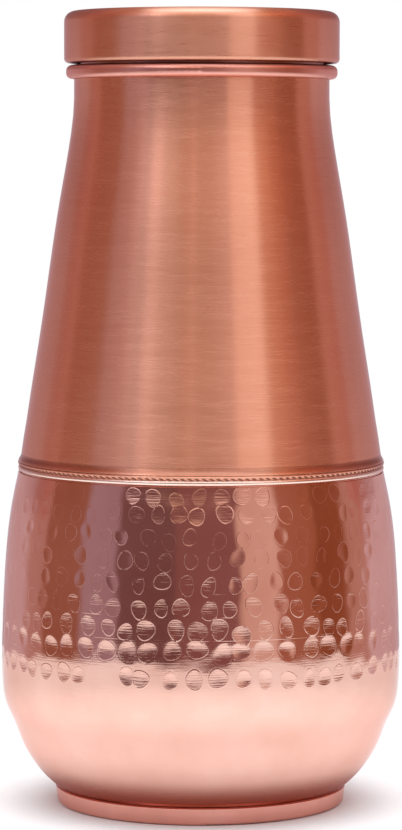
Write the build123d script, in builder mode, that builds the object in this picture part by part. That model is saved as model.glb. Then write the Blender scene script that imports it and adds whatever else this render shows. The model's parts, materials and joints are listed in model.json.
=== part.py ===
from build123d import *
import os
from math import asin, cos, degrees, radians, sin

# A hand-made copper water bottle with a screw lid. Every piece is spun, turned or moulded about the Z axis,
# and the bottle stands on its foot ring at Z = 0. All sizes are in millimetres. Outlines are drawn in the XZ
# plane as (radius, height) and revolved.

# Sheet metal and the joints in it
sheet = 0.7
braze_gap = 0.06
open_gap = 0.15

# Foot ring
foot_radius = 44.2
foot_bottom_radius = 43.6
foot_inner_radius = 41.4
foot_top = 5.3
foot_inner_top = 4.25
foot_shoulder_radius = 0.4
foot_outer_edge_radius = 0.8
foot_inner_edge_radius = 0.3

# Hammered lower shell: outside of the belly and bowl, from the seam down
belly_outline = [
    (55.45, 100.85),
    (57.8, 89.0),
    (59.65, 70.0),
    (60.5, 50.0),
    (60.3, 36.0),
    (59.5, 31.0),
    (57.05, 25.3),
    (54.2, 18.0),
    (49.85, 11.2),
    (44.9, 6.2),
]
belly_top_direction = (0.22, -1)
bowl_end_angle = 41.0  # degrees below horizontal where the bowl meets the turn of the base
base_turn_radius = 7.5
base_opening_radius = 37.0
base_disc_radius = 39.6
shelf_height = 101.25  # flat step that carries the seam ring
lap_top = 108.2  # collar of the lower shell, pushed up inside the upper shell

# Brushed upper shell: outside of the cone, from the neck down to the flare of its lip
cone_outline = [
    (38.5, 214.5),
    (39.5, 202.6),
    (43.2, 180.8),
    (47.8, 149.5),
    (51.1, 128.4),
    (54.64, 106.4),
]
cone_end_slope = 0.163  # millimetres of radius for each millimetre of height at the seam
neck_top = 219.24
lip_radius = 55.45
lip_height = 104.0
lip_underside = 102.85
lip_edge_radius = 55.05

# Half-round ring over the seam
seam_ring_height = 1.4
seam_ring_radius = 55.5
seam_ring_thickness = 0.35  # flat part, behind the half round

# Threaded collar in the neck, with the bead under the lid
collar_bore = 35.6
sleeve_radius = 36.6
spigot_bore = 36.8
spigot_bottom = 209.5
spigot_chamfer = 1.2
collar_top = 236.6
bead_radius = 40.9
bead_bottom = 219.3
bead_top = 223.4
bead_edge_radius = 1.7

# Screw thread: one start, right hand
thread_pitch = 5.0
thread_height = 1.0
thread_root_width = 2.0
thread_crest_width = 0.9
thread_sink = 0.3  # how far a ridge is rooted in the metal that carries it
collar_thread_bottom = 225.9
collar_thread_rise = 8.5
liner_thread_rise = 6.5

# Lid
lid_sheet = 0.7
lid_radius = 41.5
lid_top = 240.0
lid_bottom = 224.0
lid_crown_radius = 1600.0  # the plate is very slightly domed
lid_shoulder_radius = 3.2
lid_curl_radius = 1.4
lid_curl_end_radius = 39.3
liner_radius = 38.9
liner_bore = 38.1
liner_bottom = 224.6
liner_shoulder_radius = 1.2
gasket_bore = 34.8
gasket_radius = 37.8
gasket_edge_radius = 0.4
gasket_gap = 0.05


def lap_radius(height):
    """Outside radius of the lower shell's collar, which fits the inside of the cone."""
    cone_end_radius, cone_end_height = cone_outline[-1]
    return cone_end_radius - cone_end_slope * (height - cone_end_height) - sheet - braze_gap


def into_the_wall(line, point):
    """The point one thickness of sheet inside a line that is drawn downwards."""
    return Vector(*point) + line.tangent_at(Vector(*point)).rotate(Axis.Z, -90) * sheet


def ridge_outline(height_sign):
    """Corners of a thread ridge, rooted at x = 0; height_sign is 1 for outward and -1 for inward."""
    root = thread_root_width / 2
    crest = thread_crest_width / 2
    sunk = -thread_sink * height_sign
    top = thread_height * height_sign
    return [(sunk, -root), (0, -root), (top, -crest), (top, crest), (0, root), (sunk, root)]


# Foot ring: a band under the bowl, a little wider at the top, which slopes to lie along the bowl's underside
with BuildPart() as foot_ring:
    with BuildSketch(Plane.XZ):
        with BuildLine():
            Polyline(
                (foot_inner_radius, 0),
                (foot_bottom_radius, 0),
                (foot_radius, foot_top - foot_shoulder_radius),
                (foot_radius - foot_shoulder_radius, foot_top),
                (foot_inner_radius, foot_inner_top),
                close=True,
            )
        band = make_face()
        lower_corners = band.vertices().group_by(Axis.Y)[0].sort_by(Axis.X)
        fillet(lower_corners[-1], foot_outer_edge_radius)
        fillet(lower_corners[0], foot_inner_edge_radius)
    revolve(axis=Axis.Z)

# Lower shell: lap collar, shelf for the seam ring, hammered belly, bowl, and a flange round the base opening
with BuildPart() as lower_shell:
    with BuildSketch(Plane.XZ):
        with BuildLine():
            lap_outside = Line((lap_radius(lap_top), lap_top), (lap_radius(shelf_height), shelf_height))
            shelf = Line(lap_outside @ 1, (belly_outline[0][0] - open_gap, shelf_height))
            Line(shelf @ 1, belly_outline[0])
            bowl_end_direction = (-cos(radians(bowl_end_angle)), -sin(radians(bowl_end_angle)))
            bowl = Spline(*belly_outline, tangents=[belly_top_direction, bowl_end_direction])
            base_turn = JernArc(bowl @ 1, bowl_end_direction, base_turn_radius, -bowl_end_angle)
            base_height = (base_turn @ 1).Y
            flange_outside = Line(base_turn @ 1, (base_opening_radius, base_height))
            flange_edge = Line(flange_outside @ 1, (base_opening_radius, base_height + sheet))
            flange_inside = Line(flange_edge @ 1, (base_turn @ 1) + (0, sheet))
            turn_inside = JernArc(flange_inside @ 1, (1, 0), base_turn_radius - sheet, bowl_end_angle)
            inside_points = [into_the_wall(bowl, point) for point in reversed(belly_outline)]
            bowl_inside = Spline(
                turn_inside @ 1,
                *inside_points[1:],
                tangents=[turn_inside % 1, (-belly_top_direction[0], -belly_top_direction[1])],
            )
            shelf_inside = Line(bowl_inside @ 1, (lap_radius(shelf_height) - sheet, shelf_height - sheet))
            lap_inside = Line(shelf_inside @ 1, (lap_radius(lap_top) - sheet, lap_top))
            Line(lap_inside @ 1, lap_outside @ 0)
        make_face()
    revolve(axis=Axis.Z)

# Base disc: closes the base from inside, brazed down on the flange
with BuildPart() as base_disc:
    with BuildSketch(Plane.XY.offset(base_height + sheet)):
        Circle(base_disc_radius)
    extrude(amount=sheet)

# Seam ring: polished half-round ring on the shelf, between the two shells
with BuildPart() as seam_ring:
    ring_bottom = shelf_height + braze_gap
    ring_top = ring_bottom + seam_ring_height
    ring_middle = (ring_bottom + ring_top) / 2
    with BuildSketch(Plane.XZ):
        with BuildLine():
            ring_back = Line(
                (lap_radius(ring_top) + braze_gap, ring_top),
                (lap_radius(ring_bottom) + braze_gap, ring_bottom),
            )
            ring_floor = Line(ring_back @ 1, (ring_back @ 1) + (seam_ring_thickness, 0))
            ring_roof_end = ((ring_floor @ 1).X, ring_top)
            ThreePointArc(ring_floor @ 1, (seam_ring_radius, ring_middle), ring_roof_end)
            Line(ring_roof_end, ring_back @ 0)
        make_face()
    revolve(axis=Axis.Z)

# Upper shell: brushed cone with a straight neck above and a flared lip over the seam
with BuildPart() as upper_shell:
    with BuildSketch(Plane.XZ):
        with BuildLine():
            neck_outside = Line((cone_outline[0][0], neck_top), cone_outline[0])
            cone_end_direction = (cone_end_slope, -1)
            cone_outside = Spline(*cone_outline, tangents=[(0, -1), cone_end_direction])
            lip_side = (lip_radius, lip_height)
            lip_edge = (lip_edge_radius, lip_underside)
            flare = Spline(cone_outside @ 1, lip_side, tangents=[cone_end_direction, (0, -1)])
            lip_round = Spline(flare @ 1, lip_edge, tangents=[(0, -1), (-1, 0)])
            lip_inside_radius = lap_radius(lip_underside) + braze_gap
            lip_floor = Line(lip_round @ 1, (lip_inside_radius, lip_underside))
            inner_outline = [(radius - sheet, height) for radius, height in cone_outline]
            lip_inside = Line(lip_floor @ 1, inner_outline[-1])
            inner_rising = list(reversed(inner_outline))
            cone_inside = Spline(*inner_rising, tangents=[(-cone_end_slope, 1), (0, 1)])
            neck_inside = Line(cone_inside @ 1, (inner_outline[0][0], neck_top))
            Line(neck_inside @ 1, neck_outside @ 0)
        make_face()
    revolve(axis=Axis.Z)

# Neck collar: spigot brazed into the neck, bead round the outside, and the sleeve that carries the thread
with BuildPart() as neck_collar:
    spigot_radius = cone_outline[0][0] - sheet - braze_gap
    with BuildSketch(Plane.XZ):
        with BuildLine():
            Polyline(
                (spigot_bore, spigot_bottom),
                (spigot_radius, spigot_bottom),
                (spigot_radius, bead_bottom),
                (bead_radius, bead_bottom),
                (bead_radius, bead_top),
                (sleeve_radius, bead_top),
                (sleeve_radius, collar_top),
                (collar_bore, collar_top),
                (collar_bore, bead_bottom),
                (spigot_bore, bead_bottom - spigot_chamfer),
                close=True,
            )
        collar_face = make_face()
        fillet(collar_face.vertices().group_by(Axis.X)[-1], bead_edge_radius)
    revolve(axis=Axis.Z)
    with BuildLine():
        collar_helix = Helix(
            pitch=thread_pitch,
            height=collar_thread_rise,
            radius=sleeve_radius,
            center=(0, 0, collar_thread_bottom),
        )
    with BuildSketch(Plane(origin=collar_helix @ 0, x_dir=(1, 0, 0), z_dir=collar_helix % 0)):
        with BuildLine():
            Polyline(*ridge_outline(1), close=True)
        make_face()
    sweep(path=collar_helix, is_frenet=True)

# Lid shell: the brushed outer cap, its lower edge curled in under the liner
lid_crown_angle = degrees(
    asin((lid_radius - lid_shoulder_radius) / (lid_crown_radius - lid_shoulder_radius))
)
lid_plate_edge = lid_top - lid_crown_radius * (1 - cos(radians(lid_crown_angle)))
with BuildPart() as lid_shell:
    with BuildSketch(Plane.XZ):
        with BuildLine():
            lid_plate = JernArc((0, lid_top), (1, 0), lid_crown_radius, -lid_crown_angle)
            lid_shoulder = JernArc(lid_plate @ 1, lid_plate % 1, lid_shoulder_radius, lid_crown_angle - 90)
            lid_side = Line(lid_shoulder @ 1, (lid_radius, lid_bottom + lid_curl_radius))
            lid_curl = JernArc(lid_side @ 1, (0, -1), lid_curl_radius, -90)
            Line(lid_curl @ 1, (lid_curl_end_radius, lid_bottom))
            offset(amount=-lid_sheet, side=Side.RIGHT)
        make_face()
    revolve(axis=Axis.Z)

# Lid liner: the inner cup, brazed under the lid's plate, with the thread inside its skirt
with BuildPart() as lid_liner:
    liner_top = lid_plate_edge - lid_sheet - braze_gap
    liner_ceiling = liner_top - sheet
    liner_thread_bottom = collar_thread_bottom + thread_pitch / 2
    with BuildSketch(Plane.XZ):
        with BuildLine():
            Polyline(
                (0, liner_top),
                (liner_radius, liner_top),
                (liner_radius, liner_bottom),
                (liner_bore, liner_bottom),
                (liner_bore, liner_ceiling),
                (0, liner_ceiling),
                close=True,
            )
        liner_face = make_face()
        fillet(liner_face.vertices().group_by(Axis.Y)[-1].sort_by(Axis.X)[-1], liner_shoulder_radius)
    revolve(axis=Axis.Z)
    with BuildLine():
        liner_helix = Helix(
            pitch=thread_pitch,
            height=liner_thread_rise,
            radius=liner_bore,
            center=(0, 0, liner_thread_bottom),
        )
    with BuildSketch(Plane(origin=liner_helix @ 0, x_dir=(1, 0, 0), z_dir=liner_helix % 0)):
        with BuildLine():
            Polyline(*ridge_outline(-1), close=True)
        make_face()
    sweep(path=liner_helix, is_frenet=True)

# Gasket: silicone washer under the liner's ceiling, which the rim of the collar closes on
with BuildPart() as lid_gasket:
    with BuildSketch(Plane.XY.offset(collar_top + gasket_gap)):
        Circle(gasket_radius)
        Circle(gasket_bore, mode=Mode.SUBTRACT)
    extrude(amount=liner_ceiling - collar_top - 2 * gasket_gap)
    fillet(lid_gasket.edges().filter_by(GeomType.CIRCLE), gasket_edge_radius)

os.makedirs("parts", exist_ok=True)
pieces = {
    "foot_ring": foot_ring,
    "lower_shell": lower_shell,
    "base_disc": base_disc,
    "seam_ring": seam_ring,
    "upper_shell": upper_shell,
    "neck_collar": neck_collar,
    "lid_shell": lid_shell,
    "lid_liner": lid_liner,
    "lid_gasket": lid_gasket,
}
for piece_name, piece in pieces.items():
    piece.part.label = piece_name
    export_step(piece.part, f"parts/{piece_name}.step")
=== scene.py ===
import json
import math
from collections import namedtuple

import bpy
import numpy as np
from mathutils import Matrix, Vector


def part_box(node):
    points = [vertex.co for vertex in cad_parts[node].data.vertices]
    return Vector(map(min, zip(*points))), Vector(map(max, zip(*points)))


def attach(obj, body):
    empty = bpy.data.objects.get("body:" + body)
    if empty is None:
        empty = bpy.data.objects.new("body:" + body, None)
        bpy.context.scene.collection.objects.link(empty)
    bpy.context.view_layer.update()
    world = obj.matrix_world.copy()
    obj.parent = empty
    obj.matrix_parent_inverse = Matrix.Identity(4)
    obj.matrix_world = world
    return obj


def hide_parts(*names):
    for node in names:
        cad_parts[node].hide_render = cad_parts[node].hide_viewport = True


# The looks of the copper water bottle: a brushed lid and upper shell, a hammered and polished lower shell, a
# beaded collar, a seam ring and a foot ring. Lengths are in metres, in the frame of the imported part, unless a
# comment says otherwise.

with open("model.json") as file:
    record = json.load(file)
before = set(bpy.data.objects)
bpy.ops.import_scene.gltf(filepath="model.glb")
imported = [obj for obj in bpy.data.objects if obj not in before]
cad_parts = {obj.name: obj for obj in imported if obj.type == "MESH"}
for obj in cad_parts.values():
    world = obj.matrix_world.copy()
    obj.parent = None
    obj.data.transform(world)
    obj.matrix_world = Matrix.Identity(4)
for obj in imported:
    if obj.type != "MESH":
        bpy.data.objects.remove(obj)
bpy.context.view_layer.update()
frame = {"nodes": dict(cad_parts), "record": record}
MM = 0.001


# ---- sizes of the lower shell

SHEET = 0.7 * MM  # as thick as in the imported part
BASE_OPENING = 37 * MM  # radius of the opening inside the base flange
LAP_SLOPE = 0.163  # how much the lap collar widens towards its foot, as a share of its height
SHELF_IN = 0.25 * MM  # how far in from the edge of the belly the shelf under the seam starts
SHELF_RISE = 0.1 * MM  # how far above that edge it lies
SEAM_ROOM = 3 * MM  # how far below the seam the CAD outline stops being followed point by point
HAMMERED_LOW = 38 * MM  # the lowest ring that a mark can sink
HAMMERED_STEP = 0.64 * MM  # from ring to ring above it
BOWL_RINGS = 28  # below it
BELLY_LINE_POINTS = 1200
INSIDE_EVERY = 7  # rings outside for each ring inside
AROUND_BELLY = 640

MARKS_ROUND = 55
# Rows of hammer marks from the seam down: (height, width, length, depth) in millimetres, and the share of the
# row's marks that are there
MARK_ROWS = [
    (98.0, 4.8, 5.0, 0.045, 0.75),
    (92.6, 4.4, 5.0, 0.080, 0.85),
    (86.3, 4.3, 5.0, 0.095, 0.92),
    (80.2, 4.3, 5.3, 0.100, 0.95),
    (73.4, 4.5, 5.3, 0.095, 0.97),
    (66.5, 4.8, 5.5, 0.085, 1.00),
    (60.0, 5.0, 5.6, 0.100, 1.00),
    (53.9, 5.5, 5.7, 0.180, 1.00),
    (45.4, 5.2, 5.4, 0.130, 0.92),
]
MARK_SEED = 11
MARK_SPREAD = 0.11  # how unevenly the marks of a row are spaced, as a share of their distance
MARK_WANDER = 0.5 * MM  # how far a mark lies above or below its row
WIDTH_RANGE = (0.80, 1.12)  # shares of the row's width, length and depth that a mark may have
LENGTH_RANGE = (0.86, 1.10)
DEPTH_RANGE = (0.6, 1.3)
LEAN_SPREAD = 0.2  # radians
CRISP_RANGE = (0.45, 1.1)
CRISP_DEPTH = 0.06  # millimetres; a shallower mark has a fainter rim
SOFT_DEPTH = 0.10  # millimetres; and so has a deeper one
UNEVENNESS = 0.05  # how far the outline of a mark strays from an oval
MARK_REACH = 1.5  # how far from its middle a mark matters, in half sizes
FAR_FROM_MARKS = 9.0  # where no mark is near, in half sizes
FACE_CORNERS = [(0, 0), (1, 0), (1, 1), (0, 1)]  # steps to the right and up from a face's first corner

Mark = namedtuple("Mark", "angle height half_width half_length depth lean corner crispness")


# ---- sizes of the upper shell: its milled lip has, from its underside up, a row of slanted cuts, a rib and a
# fine groove

CUTS_ROUND = 166
CUT_HEIGHT = 0.30 * MM
CUT_HALF_HEIGHT = 0.34 * MM
CUT_DEPTH = 0.22 * MM
CUT_SLANT = 3.4  # radians of phase between the bottom and the top of a cut
# painted shade: how dark the cuts are coloured, standing in for the shade in them
CUT_PAINTED_SHADE = 1.3  # over 1, so that the whole middle of a cut is dark
RIB_HEIGHT = 0.78 * MM
RIB_HALF_HEIGHT = 0.30 * MM
RIB_OUT = 0.09 * MM
GROOVE_HEIGHT = 1.22 * MM
GROOVE_HALF_HEIGHT = 0.20 * MM
GROOVE_DEPTH = 0.14 * MM
# painted shade: how dark the groove is coloured, standing in for the shade in it
GROOVE_PAINTED_SHADE = 0.8
LIP_SIDE = 1.45 * MM  # height of the upright side of the lip above its underside
FLARE_START = 2.7 * MM
# painted shade: how dark the bend at the flare is coloured, standing in for the shade there
FLARE_PAINTED_SHADE = 0.5
CONE_START = 3.6 * MM  # height above the underside of the lip where the plain cone starts
CONE_LINE_POINTS = 3000
LIP_RINGS = 42
CONE_RINGS = 22
AROUND_LIP = CUTS_ROUND * 6


# ---- sizes of the lid shell

SHOULDER = 3.2 * MM  # radius of the rounded edge of the top
CURL = 1.4 * MM  # radius of the curled lower edge
CURL_END = 39.3 * MM  # how far from the axis the curled edge ends
CURL_PAINTED_SHADE = 0.6  # how far in from the side the painted shade under the lid starts, in curl radii
DOME_RADIUS = 1.6  # the top is that gently domed
DOME_SHARE = 0.9  # share of the lid's radius that the dome's points cover
DOME_POINTS = 12
ARC_STEPS = 12
AROUND_LID = 256


# ---- colours and finishes; three colours go from deep to pale

POLISHED = ((0.80, 0.45, 0.36), (0.84, 0.50, 0.41), (0.88, 0.55, 0.46))
# deeper copper; on the foot ring these colours are painted shade, standing in for the shaded floor it reflects
DEEPER_COPPER = ((0.76, 0.35, 0.28), (0.80, 0.38, 0.31), (0.84, 0.43, 0.35))
# painted highlight: paler copper colours for the seam ring, standing in for the bright light it catches
PAINTED_HIGHLIGHT_COPPER = ((0.90, 0.68, 0.58), (0.93, 0.73, 0.63), (0.96, 0.78, 0.69))
BRUSHED = ((0.80, 0.38, 0.25), (0.83, 0.41, 0.28), (0.86, 0.44, 0.31))
# painted shade: the dark colour that stands in for shade in the hollows of the lip and under the lid
PAINTED_SHADE_COLOUR = (0.16, 0.045, 0.03)
BRUSHED_EDGE = (0.78, 0.66, 0.66)  # the metal's colour at a glancing view
POLISHED_EDGE = (0.90, 0.78, 0.76)
SILICONE = ((0.66, 0.65, 0.62), (0.76, 0.75, 0.72))
SILICONE_ROUGHNESS = (0.42, 0.58)
SILICONE_GLOW = 0.2
GLOW_DEPTH = 1 * MM

# Scales of the marks that run round the axis, as (round it, along the outline)
STREAKS = (5, 3800)
BANDS = (2.2, 420)
TURNING_LINES = (7, 2200)
LINES_IN_MARKS = (6, 2600)

STREAK_SHARE = 0.7  # the rest is bands
STREAK_PLACES = (0.30, 0.50, 0.70)  # where the deep, middle and pale colours lie in the noise
BRUSHING_UNEVEN = 0.12  # how much the roughness of brushed copper varies, as a share
BRUSHING_STRENGTH = 0.045
ANISOTROPY = 0.97
ACROSS_THE_BRUSHING = 0.25  # turns
FINE_HEIGHT = 0.03 * MM
CLOUD_SCALE = 45
CLOUD_PLACES = (0.30, 0.52, 0.75)
CLOUDED_ROUGHNESS = (0.6, 1.4)  # shares of a material's roughness, from one end of the noise to the other
TURNED_ROUGHNESS = (0.5, 1.5)
TURNING_STRENGTH = 0.05
GRAIN_SCALE = 900
GRAIN_PLACES = (0.35, 0.65)
GRAIN_STRENGTH = 0.2

CREASE_PAINTED_SHADE = (0.42, 0.125, 0.085)  # painted shade: the bowl just above the foot, which is also duller, coloured darker to stand in for the shade and dark reflections there
CREASE_HEIGHTS = (7.5 * MM, 15 * MM)
CREASE_ROUGHNESS = 0.30
MARK_RIM = 0.026 * MM  # height of the crisp rim round a mark
MARK_RIM_WIDTH = 0.075  # as a share of the mark's half width
RIM_ROUGHNESS = 0.22
RIM_BREAKS = (0.26, 0.48)  # in the noise, a rim is gone below the first and whole above the second
RIM_BREAK_SCALE = 330
LINE_HEIGHT = 0.030 * MM
LINES_FADE = (0.85, 1.0)  # where the turning lines fade out towards the rim of a mark, in half sizes
LINES_OUTSIDE = 0.22  # share of their height left between the marks
SCRIBED_FIRST = 56.8 * MM  # height of the lowest of the faint lines scribed between the rows of marks
SCRIBED_STEP = 6.75 * MM
SCRIBED_TOP = 78 * MM
SCRIBED_WIDTH = 0.22 * MM
SCRIBED_DEPTH = 0.008 * MM
SCRIBED_BREAKS = (0.42, 0.60)
FADE_ABOVE_LINES = 4 * MM
FADE_BELOW_LINES = 2 * MM
WAVE_HEIGHT = 0.50 * MM
WAVE_SCALE = 38


# ---- mesh helpers

def outside_of(node):
    """Points (radius, height) on the outside of a CAD node, in the XZ plane and from the bottom up."""
    on_plane = 1e-6
    facing_out = 0.05
    points = set()
    for vertex in frame["nodes"][node].data.vertices:
        x, y, z = vertex.co
        if abs(y) < on_plane and x > 0 and vertex.normal.x > facing_out:
            points.add((round(x, 6), round(z, 6)))
    return sorted(points, key=lambda point: point[1])


def smooth_line(points, count_wanted):
    """A cubic spline through points, as that many points evenly along it."""
    points = np.array(points)
    lengths = np.hypot(*np.diff(points, axis=0).T)
    along = np.concatenate([[0], np.cumsum(lengths)])
    count = len(points)
    matrix = np.eye(count)
    slopes = np.zeros_like(points)
    slopes[0] = (points[1] - points[0]) / lengths[0]
    slopes[-1] = (points[-1] - points[-2]) / lengths[-1]
    for i in range(1, count - 1):
        before = lengths[i - 1]
        after = lengths[i]
        matrix[i, i - 1 : i + 2] = [after, 2 * (before + after), before]
        rise_before = (points[i] - points[i - 1]) / before
        rise_after = (points[i + 1] - points[i]) / after
        slopes[i] = 3 * (after * rise_before + before * rise_after)
    slopes = np.linalg.solve(matrix, slopes)
    wanted = np.linspace(0, along[-1], count_wanted)
    span = np.clip(np.searchsorted(along, wanted) - 1, 0, count - 2)
    length = lengths[span][:, None]
    t = ((wanted - along[span]) / lengths[span])[:, None]
    return (
        (1 + 2 * t) * (1 - t) ** 2 * points[span]
        + t * (1 - t) ** 2 * length * slopes[span]
        + t * t * (3 - 2 * t) * points[span + 1]
        + t * t * (t - 1) * length * slopes[span + 1]
    )


def moved_in(line, distance):
    """A line moved to its left by distance."""
    direction = np.gradient(line, axis=0)
    direction /= np.hypot(*direction.T)[:, None]
    return line + distance * np.stack([-direction[:, 1], direction[:, 0]], axis=1)


def rounded(corners):
    """Points of an outline of (radius, height, corner radius)."""
    outline = []
    count = len(corners)
    for i, (radius, height, bend) in enumerate(corners):
        corner = np.array([radius, height])
        if bend == 0:
            outline.append(corner)
            continue
        before = np.array(corners[i - 1][:2]) - corner
        after = np.array(corners[(i + 1) % count][:2]) - corner
        before /= np.linalg.norm(before)
        after /= np.linalg.norm(after)
        half = math.acos(np.clip(before @ after, -1, 1)) / 2
        middle = before + after
        centre = corner + middle / np.linalg.norm(middle) * bend / math.sin(half)
        start = corner + before * bend / math.tan(half) - centre
        end = corner + after * bend / math.tan(half) - centre
        sweep = math.atan2(start[0] * end[1] - start[1] * end[0], start @ end)
        for step in range(ARC_STEPS + 1):
            turn = sweep * step / ARC_STEPS
            cosine = math.cos(turn)
            sine = math.sin(turn)
            spoke = np.array([start[0] * cosine - start[1] * sine, start[0] * sine + start[1] * cosine])
            outline.append(centre + spoke)
    return np.array(outline)


def ring_grid(outline, around):
    """Radii and heights of an outline repeated round the axis, and the angle of each column."""
    radii = np.repeat(outline[:, 0:1], around, axis=1)
    heights = np.repeat(outline[:, 1:2], around, axis=1)
    return radii, heights, np.arange(around) * 2 * math.pi / around


def mesh_from_rings(name, radii, heights, angles):
    """A closed mesh from rings, in order along the outline; a ring of no radius becomes one point."""
    no_radius = 1e-9
    sharp_angle = math.radians(35)
    rows, around = radii.shape
    on_axis = [index for index in range(rows) if radii[index].max() < no_radius]
    points = []
    numbers = np.zeros((rows, around), dtype=int)
    for row in range(rows):
        if row in on_axis:
            numbers[row] = len(points)
            points.append((0.0, 0.0, float(heights[row, 0])))
            continue
        numbers[row] = len(points) + np.arange(around)
        x = radii[row] * np.cos(angles)
        y = radii[row] * np.sin(angles)
        points.extend(zip(x.tolist(), y.tolist(), heights[row].tolist()))
    faces = []
    for row in range(rows):
        above = (row + 1) % rows
        if row in on_axis and above in on_axis:
            continue
        low = numbers[row]
        high = numbers[above]
        low_next = np.roll(low, -1)
        high_next = np.roll(high, -1)
        if row in on_axis:
            corners = [low, high_next, high]
        elif above in on_axis:
            corners = [low, low_next, high]
        else:
            corners = [low, low_next, high_next, high]
        faces.extend(np.stack(corners, axis=1).tolist())
    mesh = bpy.data.meshes.new(name)
    mesh.from_pydata(points, [], faces)
    mesh.shade_smooth()
    mesh.set_sharp_from_angle(angle=sharp_angle)
    piece = bpy.data.objects.new(name, mesh)
    bpy.context.scene.collection.objects.link(piece)
    return piece


def note_painted_shade(mesh, values):
    """Keeps how much painted shade each point of a mesh has, from 0 to 1."""
    painted_shade = mesh.attributes.new("painted_shade", "FLOAT", "POINT")
    painted_shade.data.foreach_set("value", values)


def stand_in(piece, node, material):
    """The piece takes the place and the body of a CAD node."""
    bodies = frame["record"]["behaviour"]["bodies"]
    body = next(name for name, nodes in bodies.items() if node in nodes)
    piece.data.materials.append(material)
    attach(piece, body)
    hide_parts(node)


# ---- material helpers

def put(tree, kind, inputs=None, **settings):
    """A node with its settings and inputs; an input that is another node's socket is linked."""
    node = tree.nodes.new(kind)
    for name, value in settings.items():
        setattr(node, name, value)
    for name, value in (inputs or {}).items():
        if isinstance(value, bpy.types.NodeSocket):
            tree.links.new(value, node.inputs[name])
        else:
            node.inputs[name].default_value = value
    return node


def maths(tree, operation, *values):
    """The result of a Math node."""
    return put(tree, "ShaderNodeMath", dict(enumerate(values)), operation=operation).outputs[0]


def scaled(tree, value, low, high):
    """A value from 0 to 1, taken to run from low to high."""
    inputs = {"Value": value, "To Min": low, "To Max": high}
    return put(tree, "ShaderNodeMapRange", inputs).outputs[0]


def step_between(tree, value, low, high):
    """A smooth step from 0, at low, to 1, at high."""
    inputs = {"Value": value, "From Min": low, "From Max": high}
    return put(tree, "ShaderNodeMapRange", inputs, interpolation_type="SMOOTHSTEP").outputs[0]


def noise(tree, place, scale, detail, roughness=0.5):
    """Noise from about 0 to 1."""
    inputs = {"Vector": place, "Scale": scale, "Detail": detail, "Roughness": roughness}
    return put(tree, "ShaderNodeTexNoise", inputs).outputs[0]


def ramp(tree, value, stops, interpolation="LINEAR"):
    """A colour ramp of (place, colour)."""
    node = put(tree, "ShaderNodeValToRGB", {0: value})
    node.color_ramp.interpolation = interpolation
    elements = node.color_ramp.elements
    for element, (place, colour) in zip(elements, (stops[0], stops[-1])):
        element.position = place
        element.color = (*colour, 1)
    for place, colour in stops[1:-1]:
        elements.new(place).color = (*colour, 1)
    return node.outputs[0]


def mixed(tree, share, first, second):
    """A colour between two colours."""
    node = put(tree, "ShaderNodeMix", data_type="RGBA")
    sockets = [node.inputs[index] for index in (0, 6, 7)]  # its factor and its two colours
    for socket, value in zip(sockets, (share, first, second)):
        if isinstance(value, bpy.types.NodeSocket):
            tree.links.new(value, socket)
        else:
            socket.default_value = value
    return node.outputs[2]


def length_of(tree, x, y):
    """The length of a flat vector."""
    flat = put(tree, "ShaderNodeCombineXYZ", {0: x, 1: y}).outputs[0]
    return put(tree, "ShaderNodeVectorMath", {0: flat}, operation="LENGTH").outputs["Value"]


def object_place(tree):
    """The place of a point in its object's own axes."""
    return put(tree, "ShaderNodeTexCoord").outputs["Object"]


def split(tree, vector):
    """The x, y and z of a vector."""
    return put(tree, "ShaderNodeSeparateXYZ", {0: vector}).outputs


def turned_noise(tree, scales, detail, roughness=0.5):
    """Noise that runs round the axis: slow round it, fast along the outline."""
    round_scale, along_scale = scales
    x, y, z = split(tree, object_place(tree))
    radius = length_of(tree, x, y)
    flat = put(tree, "ShaderNodeCombineXYZ", {0: x, 1: y}).outputs[0]
    spoke = put(tree, "ShaderNodeVectorMath", {0: flat}, operation="NORMALIZE").outputs[0]
    inputs = {0: spoke, "Scale": round_scale}
    spoke = put(tree, "ShaderNodeVectorMath", inputs, operation="SCALE").outputs[0]
    sides = split(tree, spoke)
    along = maths(tree, "MULTIPLY", maths(tree, "SUBTRACT", z, radius), along_scale)
    turned = put(tree, "ShaderNodeCombineXYZ", {0: sides[0], 1: sides[1], 2: along}).outputs[0]
    return noise(tree, turned, scale=1, detail=detail, roughness=roughness)


def clouding(tree):
    """The slight clouding of polished copper."""
    return noise(tree, object_place(tree), CLOUD_SCALE, detail=4, roughness=0.6)


def fine_bump(tree, strength, height):
    """A normal with a very fine relief."""
    inputs = {"Strength": strength, "Distance": FINE_HEIGHT, "Height": height}
    return put(tree, "ShaderNodeBump", inputs).outputs[0]


def new_material(name):
    """A new material, its node tree and its shader."""
    material = bpy.data.materials.new(name)
    material.use_nodes = True
    tree = material.node_tree
    return material, tree, tree.nodes["Principled BSDF"]


def new_copper(name, edge):
    """A new metal with that colour at a glancing view, its node tree and its shader."""
    material, tree, shader = new_material(name)
    shader.inputs["Metallic"].default_value = 1
    shader.inputs["Specular Tint"].default_value = (*edge, 1)
    return material, tree, shader


# ---- materials

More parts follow.
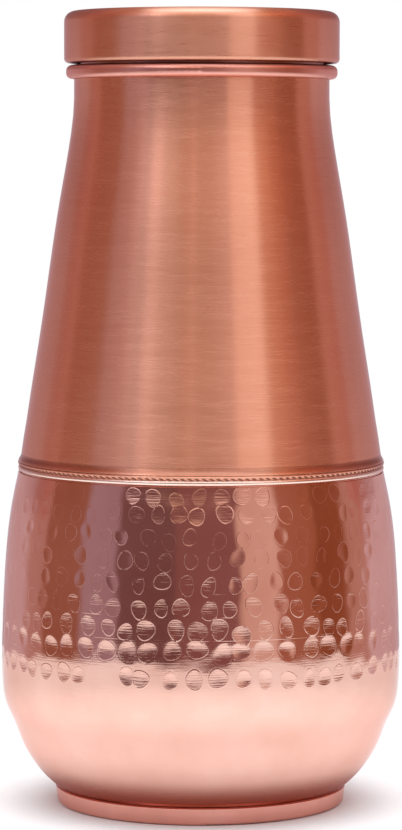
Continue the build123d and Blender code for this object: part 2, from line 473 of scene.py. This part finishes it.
def brushed_copper(name, roughness):
    """Copper brushed round the axis: fine streaks, soft bands, duller in places, dark where shade is painted
    in.
    """
    material, tree, shader = new_copper(name, BRUSHED_EDGE)
    fine = turned_noise(tree, STREAKS, detail=3, roughness=0.65)
    broad = turned_noise(tree, BANDS, detail=2)
    streaks = maths(
        tree,
        "ADD",
        maths(tree, "MULTIPLY", fine, STREAK_SHARE),
        maths(tree, "MULTIPLY", broad, 1 - STREAK_SHARE),
    )
    tint = ramp(tree, streaks, list(zip(STREAK_PLACES, BRUSHED)))
    # painted shade: darker where the mesh notes shade in hollows
    painted_shade = put(tree, "ShaderNodeAttribute", attribute_name="painted_shade").outputs["Fac"]
    tint = mixed(tree, painted_shade, tint, (*PAINTED_SHADE_COLOUR, 1))
    tree.links.new(tint, shader.inputs["Base Color"])
    spread = put(
        tree,
        "ShaderNodeMapRange",
        {
            "Value": streaks,
            "From Min": STREAK_PLACES[0],
            "From Max": STREAK_PLACES[-1],
            "To Min": roughness * (1 - BRUSHING_UNEVEN),
            "To Max": roughness * (1 + BRUSHING_UNEVEN),
        },
    ).outputs[0]
    tree.links.new(spread, shader.inputs["Roughness"])
    shader.inputs["Anisotropic"].default_value = ANISOTROPY
    shader.inputs["Anisotropic Rotation"].default_value = ACROSS_THE_BRUSHING
    tangent = put(tree, "ShaderNodeTangent", direction_type="RADIAL", axis="Z").outputs[0]
    tree.links.new(tangent, shader.inputs["Tangent"])
    tree.links.new(fine_bump(tree, BRUSHING_STRENGTH, fine), shader.inputs["Normal"])
    return material


def polished_copper(name, roughness, colours=POLISHED):
    """Polished copper with faint turning lines and slight clouding."""
    material, tree, shader = new_copper(name, POLISHED_EDGE)
    clouds = clouding(tree)
    lines = turned_noise(tree, TURNING_LINES, detail=2)
    tint = ramp(tree, clouds, list(zip(CLOUD_PLACES, colours)))
    tree.links.new(tint, shader.inputs["Base Color"])
    share = maths(tree, "MULTIPLY", maths(tree, "ADD", clouds, lines), 0.5)
    dullness = scaled(tree, share, *(roughness * part for part in TURNED_ROUGHNESS))
    tree.links.new(dullness, shader.inputs["Roughness"])
    tree.links.new(fine_bump(tree, TURNING_STRENGTH, lines), shader.inputs["Normal"])
    return material


def mark_rims(tree, from_middle, crispness):
    """The crisp rims round the marks: 1 on a crisp rim, 0 away from it, and broken here and there."""
    from_rim = maths(tree, "DIVIDE", maths(tree, "SUBTRACT", from_middle, 1), MARK_RIM_WIDTH)
    falloff = maths(tree, "MULTIPLY", maths(tree, "MULTIPLY", from_rim, from_rim), -1)
    rims = maths(tree, "MULTIPLY", maths(tree, "EXPONENT", falloff), crispness)
    breaks = noise(tree, object_place(tree), RIM_BREAK_SCALE, detail=1)
    return maths(tree, "MULTIPLY", rims, step_between(tree, breaks, *RIM_BREAKS))


def lines_in_marks(tree, from_middle):
    """The height of the fine turning lines, which are deeper inside the marks."""
    lines = turned_noise(tree, LINES_IN_MARKS, detail=2, roughness=0.6)
    in_mark = put(
        tree,
        "ShaderNodeMapRange",
        {
            "Value": from_middle,
            "From Min": LINES_FADE[0],
            "From Max": LINES_FADE[1],
            "To Min": 1.0,
            "To Max": LINES_OUTSIDE,
        },
    ).outputs[0]
    return maths(tree, "MULTIPLY", maths(tree, "MULTIPLY", lines, in_mark), LINE_HEIGHT)


def scribed_lines(tree, height, clouds):
    """The faint lines scribed between the lower rows of marks: 1 on a line, and broken by the clouding."""
    above_first = maths(tree, "DIVIDE", maths(tree, "SUBTRACT", height, SCRIBED_FIRST), SCRIBED_STEP)
    from_middle = maths(tree, "ABSOLUTE", maths(tree, "SUBTRACT", maths(tree, "FRACT", above_first), 0.5))
    lines = step_between(tree, from_middle, 0.5 - SCRIBED_WIDTH / SCRIBED_STEP, 0.5)
    whole = step_between(tree, clouds, *SCRIBED_BREAKS)
    below_top = step_between(tree, height, SCRIBED_TOP + FADE_ABOVE_LINES, SCRIBED_TOP)
    above_bottom = step_between(tree, height, SCRIBED_FIRST - FADE_BELOW_LINES, SCRIBED_FIRST)
    for share in (whole, below_top, above_bottom):
        lines = maths(tree, "MULTIPLY", lines, share)
    return lines


def hammered_copper(name, roughness):
    """Polished copper with a crisp rim and turning lines in each hammer mark, a slow wave all over, and painted
    shade just above the foot.
    """
    material, tree, shader = new_copper(name, POLISHED_EDGE)
    place = object_place(tree)
    height = split(tree, place)[2]
    clouds = clouding(tree)
    out_of_crease = step_between(tree, height, *CREASE_HEIGHTS)
    tint = ramp(tree, clouds, list(zip(CLOUD_PLACES, POLISHED)))
    # painted shade: towards the foot the colour darkens, standing in for the shade and dark reflections there
    tree.links.new(mixed(tree, out_of_crease, (*CREASE_PAINTED_SHADE, 1), tint), shader.inputs["Base Color"])
    mark = put(tree, "ShaderNodeAttribute", attribute_name="mark").outputs["Vector"]
    across, up, crispness = split(tree, mark)
    from_middle = length_of(tree, across, up)
    rims = mark_rims(tree, from_middle, crispness)
    relief = maths(tree, "MULTIPLY_ADD", rims, MARK_RIM, lines_in_marks(tree, from_middle))
    relief = maths(tree, "MULTIPLY_ADD", scribed_lines(tree, height, clouds), -SCRIBED_DEPTH, relief)
    dullness = scaled(tree, clouds, *(roughness * part for part in CLOUDED_ROUGHNESS))
    dullness = maths(tree, "MULTIPLY_ADD", rims, RIM_ROUGHNESS, dullness)
    dullness = maths(tree, "ADD", dullness, scaled(tree, out_of_crease, CREASE_ROUGHNESS, 0))
    tree.links.new(dullness, shader.inputs["Roughness"])
    swell = noise(tree, place, WAVE_SCALE, detail=2, roughness=0.55)
    slow = put(tree, "ShaderNodeBump", {"Strength": 1, "Distance": WAVE_HEIGHT, "Height": swell})
    inputs = {"Strength": 1, "Distance": 1, "Height": relief, "Normal": slow.outputs[0]}
    crisp = put(tree, "ShaderNodeBump", inputs)
    tree.links.new(crisp.outputs[0], shader.inputs["Normal"])
    return material


def silicone(name):
    """Milky silicone with a soft sheen and a fine moulded grain."""
    material, tree, shader = new_material(name)
    grain = noise(tree, object_place(tree), GRAIN_SCALE, detail=3)
    tint = ramp(tree, grain, list(zip(GRAIN_PLACES, SILICONE)))
    tree.links.new(tint, shader.inputs["Base Color"])
    tree.links.new(scaled(tree, grain, *SILICONE_ROUGHNESS), shader.inputs["Roughness"])
    shader.inputs["Subsurface Weight"].default_value = SILICONE_GLOW
    shader.inputs["Subsurface Scale"].default_value = GLOW_DEPTH
    tree.links.new(fine_bump(tree, GRAIN_STRENGTH, grain), shader.inputs["Normal"])
    return material


# ---- pieces

def turned_from(angle, angles):
    """How far angles are from an angle, from minus half a turn to half a turn."""
    return (angles - angle + math.pi) % (2 * math.pi) - math.pi


def place_marks():
    """The hammer marks of all rows, each a little different."""
    chance = np.random.default_rng(MARK_SEED)
    marks = []
    for height, width, length, depth, kept in MARK_ROWS:
        shift = chance.uniform(0, 1)
        crisp_share = min(1, depth / CRISP_DEPTH, SOFT_DEPTH / depth)
        for number in range(MARKS_ROUND):
            mark = Mark(
                angle=(number + shift + chance.normal(0, MARK_SPREAD)) * 2 * math.pi / MARKS_ROUND,
                height=height * MM + chance.normal(0, 1) * MARK_WANDER,
                half_width=width * MM / 2 * chance.uniform(*WIDTH_RANGE),
                half_length=length * MM / 2 * chance.uniform(*LENGTH_RANGE),
                depth=depth * MM * chance.uniform(*DEPTH_RANGE),
                lean=chance.normal(0, LEAN_SPREAD),
                corner=chance.uniform(0, 2 * math.pi),
                crispness=chance.uniform(*CRISP_RANGE) * crisp_share,
            )
            if chance.uniform() < kept:
                marks.append(mark)
    return marks


def seen_from(mark, angles, heights, radii):
    """Places as seen from a mark: across and up, in half sizes of its slightly uneven oval."""
    across = turned_from(mark.angle, angles) * radii
    up = heights - mark.height
    cosine = math.cos(mark.lean)
    sine = math.sin(mark.lean)
    leaning_across = (across * cosine + up * sine) / mark.half_width
    leaning_up = (up * cosine - across * sine) / mark.half_length
    way = np.arctan2(leaning_up, leaning_across)
    uneven = 1 + UNEVENNESS * np.cos(3 * way + mark.corner) + UNEVENNESS * np.cos(2 * way - mark.corner)
    return leaning_across * uneven, leaning_up * uneven


def near(mark, angles, heights, radius):
    """Rows and columns close enough to a mark to be touched by it."""
    reach = MARK_REACH * max(mark.half_width, mark.half_length)
    aside = np.abs(turned_from(mark.angle, angles)) * radius
    return np.ix_(np.abs(heights - mark.height) < reach, aside < reach)


def lower_outline():
    """The section of the lower shell, and which of its rings are hammered."""
    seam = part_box("seam_ring")[0].z
    low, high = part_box("lower_shell")
    outside = outside_of("lower_shell")
    top_edge = max((point for point in outside if point[1] > seam - MM), key=lambda point: point[0])
    below_seam = [point for point in outside if point[1] < seam - SEAM_ROOM]
    line = smooth_line([*below_seam, top_edge], BELLY_LINE_POINTS)
    bowl = np.linspace(line[0, 1], HAMMERED_LOW, BOWL_RINGS)[:-1]
    belly = np.arange(HAMMERED_LOW, top_edge[1], HAMMERED_STEP)
    wanted = np.concatenate([bowl, belly, [top_edge[1]]])
    profile = np.stack([np.interp(wanted, line[:, 1], line[:, 0]), wanted], axis=1)
    inside = moved_in(profile[::INSIDE_EVERY], SHEET)[::-1]
    base = [[BASE_OPENING, low.z + SHEET], [BASE_OPENING, low.z]]
    lap_radius = outside[-1][0]
    shelf = top_edge[1] + SHELF_RISE
    lap_foot = lap_radius + LAP_SLOPE * (high.z - shelf)
    lap = [
        [top_edge[0] - SHELF_IN, shelf],
        [lap_foot, shelf],
        [lap_radius, high.z],
        [lap_radius - SHEET, high.z],
        [lap_foot - SHEET, shelf - SHEET],
    ]
    first = len(base) + len(bowl)
    return np.concatenate([base, profile, lap, inside]), slice(first, first + len(belly))


def make_lower_shell():
    """The belly and bowl with their hammer marks, the shelf under the seam, the lap and the base flange."""
    outline, rows = lower_outline()
    radii, heights, angles = ring_grid(outline, AROUND_BELLY)
    marks = place_marks()
    belly_radius = outline[rows, 0].mean()
    sink = np.zeros_like(radii[rows])
    for mark in marks:
        block = near(mark, angles, heights[rows, 0], belly_radius)
        across, up = seen_from(mark, angles[block[1]], heights[rows][block], radii[rows][block])
        depth = mark.depth * np.clip(1 - across**2 - up**2, 0, None)
        sink[block] = np.maximum(sink[block], depth)
    radii[rows] -= sink
    shell = mesh_from_rings("hammered_lower_shell", radii, heights, angles)
    note_marks(shell.data, marks, radii, heights, angles, rows)
    return shell


def note_marks(mesh, marks, radii, heights, angles, rows):
    """Keeps, for each corner of each face, where it lies as seen from the nearest mark, for crisp rims."""
    ring_radii = radii[rows].mean(axis=1)
    ring_heights = heights[rows, 0]
    middle_heights = (ring_heights[:-1] + ring_heights[1:]) / 2
    middle_radii = (ring_radii[:-1] + ring_radii[1:]) / 2
    half_face = math.pi / len(angles)
    nearest = np.full((len(middle_heights), len(angles)), FAR_FROM_MARKS)
    seen = np.full((*radii.shape, 4, 3), FAR_FROM_MARKS)
    for mark in marks:
        block = near(mark, angles + half_face, middle_heights, ring_radii.mean())
        face_rows, face_columns = block
        left = angles[face_columns]
        from_middle = np.hypot(
            *seen_from(mark, left + half_face, middle_heights[face_rows], middle_radii[face_rows])
        )
        closer = from_middle < nearest[block]
        nearest[block] = np.where(closer, from_middle, nearest[block])
        for corner, (right, above) in enumerate(FACE_CORNERS):
            ring = face_rows + above
            across, up = seen_from(
                mark, left + 2 * half_face * right, ring_heights[ring], ring_radii[ring]
            )
            here = (face_rows + rows.start, face_columns, corner)
            for part, value in enumerate((across, up, mark.crispness)):
                seen[(*here, part)] = np.where(closer, value, seen[(*here, part)])
    attribute = mesh.attributes.new("mark", "FLOAT_VECTOR", "CORNER")
    attribute.data.foreach_set("vector", seen.ravel())


def hump(heights, middle, half_height):
    """1 at the middle height, falling to 0 at half_height above and below it."""
    return np.clip(1 - ((heights - middle) / half_height) ** 2, 0, None)


def upper_outline():
    """The section of the upper shell, and how many of its rings are on the lip."""
    outside = outside_of("upper_shell")
    low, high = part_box("upper_shell")
    edge = [point for point in outside if point[1] < low.z + LIP_SIDE]
    cone = [point for point in outside if point[1] > low.z + CONE_START]
    slope = (cone[0][0] - cone[1][0]) / (cone[1][1] - cone[0][1])
    flare_height = low.z + FLARE_START
    flare = (cone[0][0] + slope * (cone[0][1] - flare_height), flare_height)
    line = smooth_line([*edge, flare, *cone], CONE_LINE_POINTS)
    lip = line[line[:, 1] < low.z + CONE_START]
    rest = line[line[:, 1] >= low.z + CONE_START]
    lip = lip[:: max(1, len(lip) // LIP_RINGS)]
    rest = rest[:: len(rest) // CONE_RINGS]
    profile = np.concatenate([lip, rest, [outside[-1]]])
    inside = moved_in(profile[len(lip) :], SHEET)[::-2]
    inside[0] = (outside[-1][0] - SHEET, high.z)
    underside = [[inside[-1][0], low.z]]
    return np.concatenate([profile, inside, underside]), len(lip)


def make_upper_shell():
    """The neck, the cone and the flared lip, with slanted cuts along its edge, a rib and a groove."""
    outline, lip_rings = upper_outline()
    radii, heights, angles = ring_grid(outline, AROUND_LIP)
    on_lip = np.arange(len(outline))[:, None] < lip_rings
    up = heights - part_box("upper_shell")[0].z
    phase = CUTS_ROUND * angles[None, :] + CUT_SLANT * (up - CUT_HEIGHT) / CUT_HALF_HEIGHT / 2
    cuts = on_lip * hump(up, CUT_HEIGHT, CUT_HALF_HEIGHT) * (0.5 + 0.5 * np.cos(phase))
    rib = on_lip * hump(up, RIB_HEIGHT, RIB_HALF_HEIGHT)
    groove = on_lip * hump(up, GROOVE_HEIGHT, GROOVE_HALF_HEIGHT)
    flare = on_lip * hump(up, FLARE_START, FLARE_START - LIP_SIDE)
    radii += RIB_OUT * rib - CUT_DEPTH * cuts - GROOVE_DEPTH * groove
    shell = mesh_from_rings("brushed_upper_shell", radii, heights, angles)
    # painted shade in the cuts, the groove and the flare
    painted_shade = CUT_PAINTED_SHADE * cuts + GROOVE_PAINTED_SHADE * groove + FLARE_PAINTED_SHADE * flare
    note_painted_shade(shell.data, np.clip(painted_shade, 0, 1).ravel())
    return shell


def make_lid_shell():
    """The outer cap: slightly domed top, rounded shoulder, straight side, and the lower edge curled in."""
    low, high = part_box("lid_shell")
    radius = high.x
    edge = high.z - radius**2 / DOME_RADIUS / 2
    dome_places = np.linspace(0, DOME_SHARE * radius, DOME_POINTS)
    dome = [(place, high.z - place**2 / DOME_RADIUS / 2, 0) for place in dome_places]
    under_dome = [(place, height - SHEET, 0) for place, height, _ in dome]
    corners = [
        *under_dome,
        (radius - SHEET, edge - SHEET, SHOULDER - SHEET),
        (radius - SHEET, low.z + SHEET, CURL - SHEET),
        (CURL_END, low.z + SHEET, 0),
        (CURL_END, low.z, 0),
        (radius, low.z, CURL),
        (radius, edge, SHOULDER),
        *reversed(dome),
    ]
    radii, heights, angles = ring_grid(rounded(corners), AROUND_LID)
    shell = mesh_from_rings("brushed_lid_shell", radii, heights, angles)
    # painted shade: the inside of the lid below its shoulder is darkened, standing in for the shade under the
    # lid
    painted_shade = []
    for vertex in shell.data.vertices:
        x, y, z = vertex.co
        inside = math.hypot(x, y) < radius - CURL_PAINTED_SHADE * CURL
        painted_shade.append(float(inside and z < edge - SHOULDER))
    note_painted_shade(shell.data, painted_shade)
    return shell


stand_in(make_lower_shell(), "lower_shell", hammered_copper("hammered_copper_look", roughness=0.07))
stand_in(make_upper_shell(), "upper_shell", brushed_copper("brushed_copper_look", roughness=0.26))
stand_in(make_lid_shell(), "lid_shell", brushed_copper("brushed_lid_look", roughness=0.29))

plain = polished_copper("plain_copper_look", roughness=0.34)
cad_looks = {
    # painted shade: the foot ring takes the deeper colours to stand in for the shaded floor it reflects
    "foot_ring": polished_copper("foot_painted_shade_look", roughness=0.20, colours=DEEPER_COPPER),
    # painted highlight: the seam ring takes the paler colours to stand in for the bright light it catches
    "seam_ring": polished_copper("seam_ring_painted_highlight_look", roughness=0.26, colours=PAINTED_HIGHLIGHT_COPPER),
    "neck_collar": polished_copper("collar_copper_look", roughness=0.34, colours=DEEPER_COPPER),
    "base_disc": plain,
    "lid_liner": plain,
    "lid_gasket": silicone("silicone_look"),
}
for node_name, look in cad_looks.items():
    frame["nodes"][node_name].data.materials[0] = look


# ---- floor

FLOOR_RADIUS = 0.48
FLOOR_AHEAD = 0.14  # how far the middle of the floor lies in front of the bottle
FLOOR_HEIGHT = -0.1 * MM
PAINTED_LIGHT_AHEAD = 0.07  # how far the palest part of the floor, the middle of its painted pool of light, lies in front of the bottle
FLOOR_PAINTED_LIGHT = [(0.10, (0.95, 0.95, 0.95)), (0.30, (0.68, 0.68, 0.68))]  # painted light, by distance from the palest part


def make_floor():
    """A round pale floor with a painted pool of light: paler near the bottle, a little darker away from it."""
    bpy.ops.mesh.primitive_circle_add(
        vertices=128, radius=FLOOR_RADIUS, fill_type="TRIFAN", location=(0, -FLOOR_AHEAD, FLOOR_HEIGHT)
    )
    floor = bpy.context.object
    floor.name = "floor"
    material, tree, shader = new_material("floor_look")
    # painted light: the floor is coloured paler near the bottle and darker away from it
    inputs = {0: object_place(tree), 1: (0, FLOOR_AHEAD - PAINTED_LIGHT_AHEAD, 0)}
    distance = put(tree, "ShaderNodeVectorMath", inputs, operation="DISTANCE").outputs["Value"]
    tree.links.new(ramp(tree, distance, FLOOR_PAINTED_LIGHT), shader.inputs["Base Color"])
    shader.inputs["Roughness"].default_value = 0.9
    shader.inputs["Specular IOR Level"].default_value = 0.0
    floor.data.materials.append(material)
    return floor


floor = make_floor()


# ---- surroundings and light

# What the metal reflects: cards and dark gaps round the table, low and high, as (degrees to the right of the
# camera, colour)
LOW_SURROUNDINGS = [
    (-180, (0.65, 0.55, 0.62)),
    (-126, (0.62, 0.50, 0.57)),
    (-118, (0.50, 0.31, 0.30)),
    (-106, (0.46, 0.27, 0.25)),
    (-101, (0.33, 0.14, 0.10)),
    (-76, (0.32, 0.14, 0.10)),
    (-71, (0.38, 0.27, 0.33)),
    (-51, (0.36, 0.25, 0.31)),
    (-47, (0.19, 0.10, 0.11)),
    (-17, (0.18, 0.09, 0.09)),
    (-13, (0.24, 0.11, 0.11)),
    (21, (0.26, 0.12, 0.12)),
    (25, (0.66, 0.46, 0.40)),
    (44, (0.72, 0.52, 0.47)),
    (48, (0.40, 0.17, 0.12)),
    (69, (0.36, 0.14, 0.08)),
    (73, (0.27, 0.09, 0.045)),
    (92, (0.29, 0.10, 0.05)),
    (97, (0.49, 0.28, 0.24)),
    (112, (0.52, 0.32, 0.30)),
    (118, (0.66, 0.54, 0.62)),
    (180, (0.65, 0.55, 0.62)),
]
HIGH_SURROUNDINGS = [
    (-180, (0.34, 0.26, 0.32)),
    (-150, (0.34, 0.22, 0.26)),
    (-130, (0.34, 0.16, 0.16)),
    (-105, (0.48, 0.20, 0.18)),
    (-90, (0.40, 0.11, 0.07)),
    (-78, (0.46, 0.15, 0.08)),
    (-66, (0.75, 0.40, 0.32)),
    (-50, (1.70, 1.60, 1.80)),
    (-42, (2.90, 2.75, 2.95)),
    (-30, (1.75, 1.55, 1.45)),
    (-14, (1.25, 0.90, 0.66)),
    (-10, (1.15, 0.84, 0.60)),
    (-7, (1.85, 1.45, 1.20)),
    (-4, (1.10, 0.82, 0.58)),
    (6, (1.20, 0.90, 0.66)),
    (22, (1.65, 1.40, 1.30)),
    (34, (1.75, 1.65, 1.60)),
    (44, (1.98, 1.95, 1.90)),
    (55, (1.45, 0.90, 0.60)),
    (58, (1.20, 0.66, 0.38)),
    (60, (1.75, 1.05, 0.70)),
    (63, (1.05, 0.46, 0.24)),
    (72, (0.82, 0.24, 0.09)),
    (88, (0.72, 0.18, 0.08)),
    (94, (0.64, 0.19, 0.12)),
    (104, (0.50, 0.20, 0.17)),
    (130, (0.35, 0.16, 0.16)),
    (150, (0.34, 0.21, 0.24)),
    (180, (0.34, 0.26, 0.32)),
]
CARD_TOPS = (0.40, 0.09)  # sine of the elevation where the low cards end, in front and behind
CARD_BLUR = 0.09
FRONT_END = (92, 112)  # degrees from the camera between which the tops of the cards come down
ABOVE_WALLS = (0.50, 0.26, 0.20)
ABOVE_WALLS_FROM = (40, 50)  # degrees of elevation
OVERHEAD = (3.20, 3.70, 4.20)  # a wide lamp above and in front
OVERHEAD_FROM = (60, 67)  # degrees of elevation
OVERHEAD_BACK = (-0.10, 0.15)  # how far back the lamp reaches, as the backward part of a direction
CEILING = (1.15, 1.20, 1.25)  # above and behind
BACKGROUND = (1.0, 1.0, 1.0)
SOFT_LIGHT = (2.50, 2.56, 2.64)  # what lights the floor
SOFT_LIGHT_FROM = (0.35, 0.90)  # as the upward part of a direction


def cards_round(tree, turn, cards, interpolation):
    """The colours of the cards, for a direction's share of a full turn."""
    stops = [((degrees + 180) / 360, colour) for degrees, colour in cards]
    return ramp(tree, turn, stops, interpolation)


def step_up(tree, up, degrees):
    """A smooth step between two elevations in degrees, for the upward part of a direction."""
    low, high = (math.sin(math.radians(limit)) for limit in degrees)
    return step_between(tree, up, low, high)


def what_metal_sees(tree, right, back, up):
    """The cards and gaps round the table, the dark band above them, and the lamp and ceiling overhead."""
    to_the_right = maths(tree, "ARCTAN2", right, maths(tree, "MULTIPLY", back, -1))
    turn = maths(tree, "MULTIPLY_ADD", to_the_right, 1 / (2 * math.pi), 0.5)
    low = cards_round(tree, turn, LOW_SURROUNDINGS, "LINEAR")
    high = cards_round(tree, turn, HIGH_SURROUNDINGS, "EASE")
    aside = maths(tree, "ABSOLUTE", to_the_right)
    behind = step_between(tree, aside, *(math.radians(limit) for limit in FRONT_END))
    above_cards = maths(tree, "SUBTRACT", up, scaled(tree, behind, *CARD_TOPS))
    walls = mixed(tree, step_between(tree, above_cards, -CARD_BLUR, CARD_BLUR), low, high)
    walls = mixed(tree, step_up(tree, up, ABOVE_WALLS_FROM), walls, (*ABOVE_WALLS, 1))
    past_lamp = step_between(tree, back, *OVERHEAD_BACK)
    overhead = mixed(tree, past_lamp, (*OVERHEAD, 1), (*CEILING, 1))
    return mixed(tree, step_up(tree, up, OVERHEAD_FROM), walls, overhead)


def make_surroundings():
    """A white studio: plain white to the camera, soft light on the floor, cards and gaps in the metal."""
    world = bpy.data.worlds.new("studio")
    bpy.context.scene.world = world
    world.use_nodes = True
    tree = world.node_tree
    tree.nodes.clear()
    right, back, up = split(tree, put(tree, "ShaderNodeTexCoord").outputs["Generated"])
    black = (0, 0, 0, 1)
    soft_light = mixed(tree, step_between(tree, up, *SOFT_LIGHT_FROM), black, (*SOFT_LIGHT, 1))
    path = put(tree, "ShaderNodeLightPath").outputs
    seen = mixed(tree, path["Is Glossy Ray"], soft_light, what_metal_sees(tree, right, back, up))
    seen = mixed(tree, path["Is Camera Ray"], seen, (*BACKGROUND, 1))
    background = put(tree, "ShaderNodeBackground", {"Color": seen, "Strength": 1})
    out = put(tree, "ShaderNodeOutputWorld")
    tree.links.new(background.outputs[0], out.inputs["Surface"])


make_surroundings()


# ---- camera

CAMERA_ASIDE = -0.0002
CAMERA_DISTANCE = 1.060
CAMERA_HEIGHT = 0.198
CAMERA_TILT = 4.33  # degrees down
CAMERA_ROLL = -0.12  # degrees
camera_data = bpy.data.cameras.new("camera")
camera_data.lens = 151.8
camera_data.sensor_width = 36
camera = bpy.data.objects.new("camera", camera_data)
camera.location = (CAMERA_ASIDE, -CAMERA_DISTANCE, CAMERA_HEIGHT)
camera.rotation_euler = (math.radians(90 - CAMERA_TILT), math.radians(CAMERA_ROLL), 0)
bpy.context.scene.collection.objects.link(camera)
bpy.context.scene.camera = camera
bpy.context.scene.view_settings.view_transform = "Standard"
